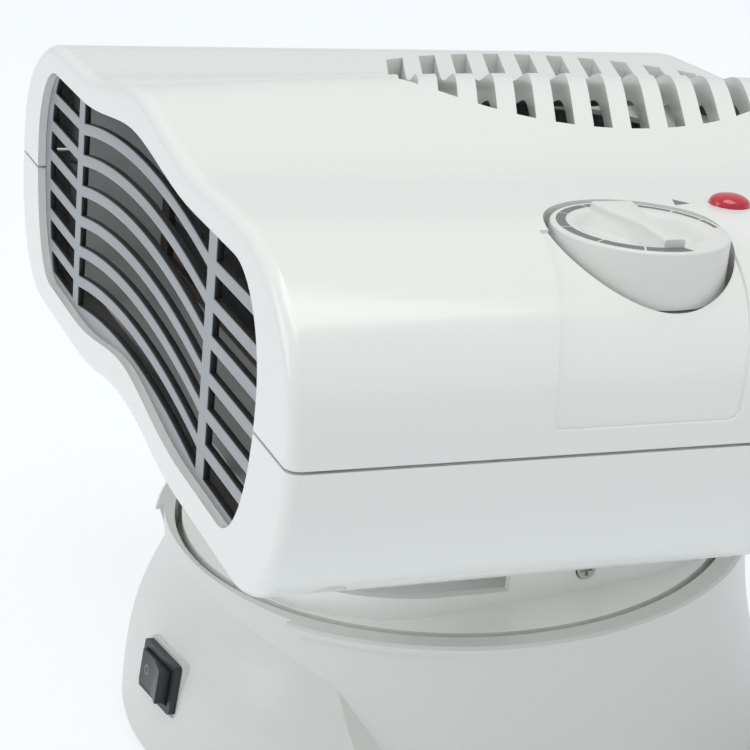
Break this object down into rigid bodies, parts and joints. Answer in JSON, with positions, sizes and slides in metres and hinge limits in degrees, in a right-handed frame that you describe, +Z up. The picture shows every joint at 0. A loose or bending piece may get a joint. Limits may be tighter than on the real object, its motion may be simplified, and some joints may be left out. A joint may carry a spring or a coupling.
{
  "type": "fan heater",
  "caption": "Compact fan heater: a low curved housing with an arched front grille, top vents and side dials, swinging on a flared round base with a rocker switch.",
  "frame": {"origin": "centre of the base on the floor, on the swivel axis", "axes": "+Z up along the swivel axis, -Y towards the grille, +X towards the side that carries the dials"},
  "size_m": [0.28, 0.2281, 0.196],
  "materials": {
    "housing": "smooth glossy white moulding",
    "base": "satin white moulding",
    "grille": "black moulding with a silver-grey face",
    "knob": "white moulding with a grey printed ring",
    "lens": "clear red lens",
    "duct": "light grey heat-resistant moulding",
    "element_frame": "dark brown heat-resistant moulding",
    "fins": "bright corrugated aluminium",
    "ceramic": "coated ceramic heater bars",
    "black_plastic": "black switch plastic",
    "rubber": "grey-black rubber",
    "steel": "zinc-plated steel",
    "motor": "plated motor can",
    "glide": "natural low-friction plastic"
  },
  "bodies": {
    "base": {"base_shell": "base", "base_plate": "base", "base_screws": "steel", "rubber_feet": "rubber", "bearing_ring": "glide", "swing_motor": "motor", "swing_motor_screws": "steel", "rocker_bezel": "black_plastic", "cord_gland": "black_plastic"},
    "head": {"turntable": "base", "neck_screws": "steel", "retaining_washer": "steel", "lower_housing": "housing", "upper_housing": "housing", "front_grille": "grille", "air_duct": "duct", "element_frame": "element_frame", "ptc_bars": "ceramic", "fin_strips": "fins", "thermal_cutout": "steel", "blower_scroll": "duct", "scroll_cover": "duct", "fan_motor": "motor", "thermostat": "black_plastic", "mode_switch": "black_plastic", "pilot_lamp_lens": "lens", "lamp_holder": "black_plastic", "housing_screws": "steel"},
    "fan": {"impeller": "black_plastic", "motor_shaft": "steel"},
    "thermostat_control": {"thermostat_knob": "knob", "thermostat_shaft": "steel"},
    "mode_control": {"mode_knob": "knob", "mode_shaft": "steel"},
    "crank": {"swing_crank": "glide"},
    "switch_rocker": {"rocker": "black_plastic"}
  },
  "joints": [
    {"name": "swivel", "type": "hinge", "parent": "base", "child": "head", "pos_m": [0, 0, 0.05], "axis": [0, 0, 1], "range_deg": [-17, 35]},
    {"name": "crank_turn", "type": "hinge", "parent": "base", "child": "crank", "pos_m": [-0.00657, 0.04148, 0.05], "axis": [0, 0, 1], "range_deg": [-54.4, 112]},
    {"name": "fan_spin", "type": "hinge", "parent": "head", "child": "fan", "pos_m": [-0.031, 0.04465, 0.14124], "axis": [0, 0.0918, 0.9958], "continuous": true},
    {"name": "thermostat_turn", "type": "hinge", "parent": "head", "child": "thermostat_control", "pos_m": [0.1052, 0.00264, 0.17022], "axis": [0, 0.0918, 0.9958], "range_deg": [-235, 60]},
    {"name": "mode_turn", "type": "hinge", "parent": "head", "child": "mode_control", "pos_m": [0.1052, 0.07284, 0.16375], "axis": [0, 0.0918, 0.9958], "range_deg": [0, 135]},
    {"name": "rocker_tilt", "type": "hinge", "parent": "base", "child": "switch_rocker", "pos_m": [0.01519, -0.09591, 0.0274], "axis": [-0.0325, 0.2054, 0.9781], "range_deg": [0, 16]}
  ],
  "couplings": [
    {"joint": "crank_turn", "follows": "swivel", "ratio": 3.2}
  ]
}
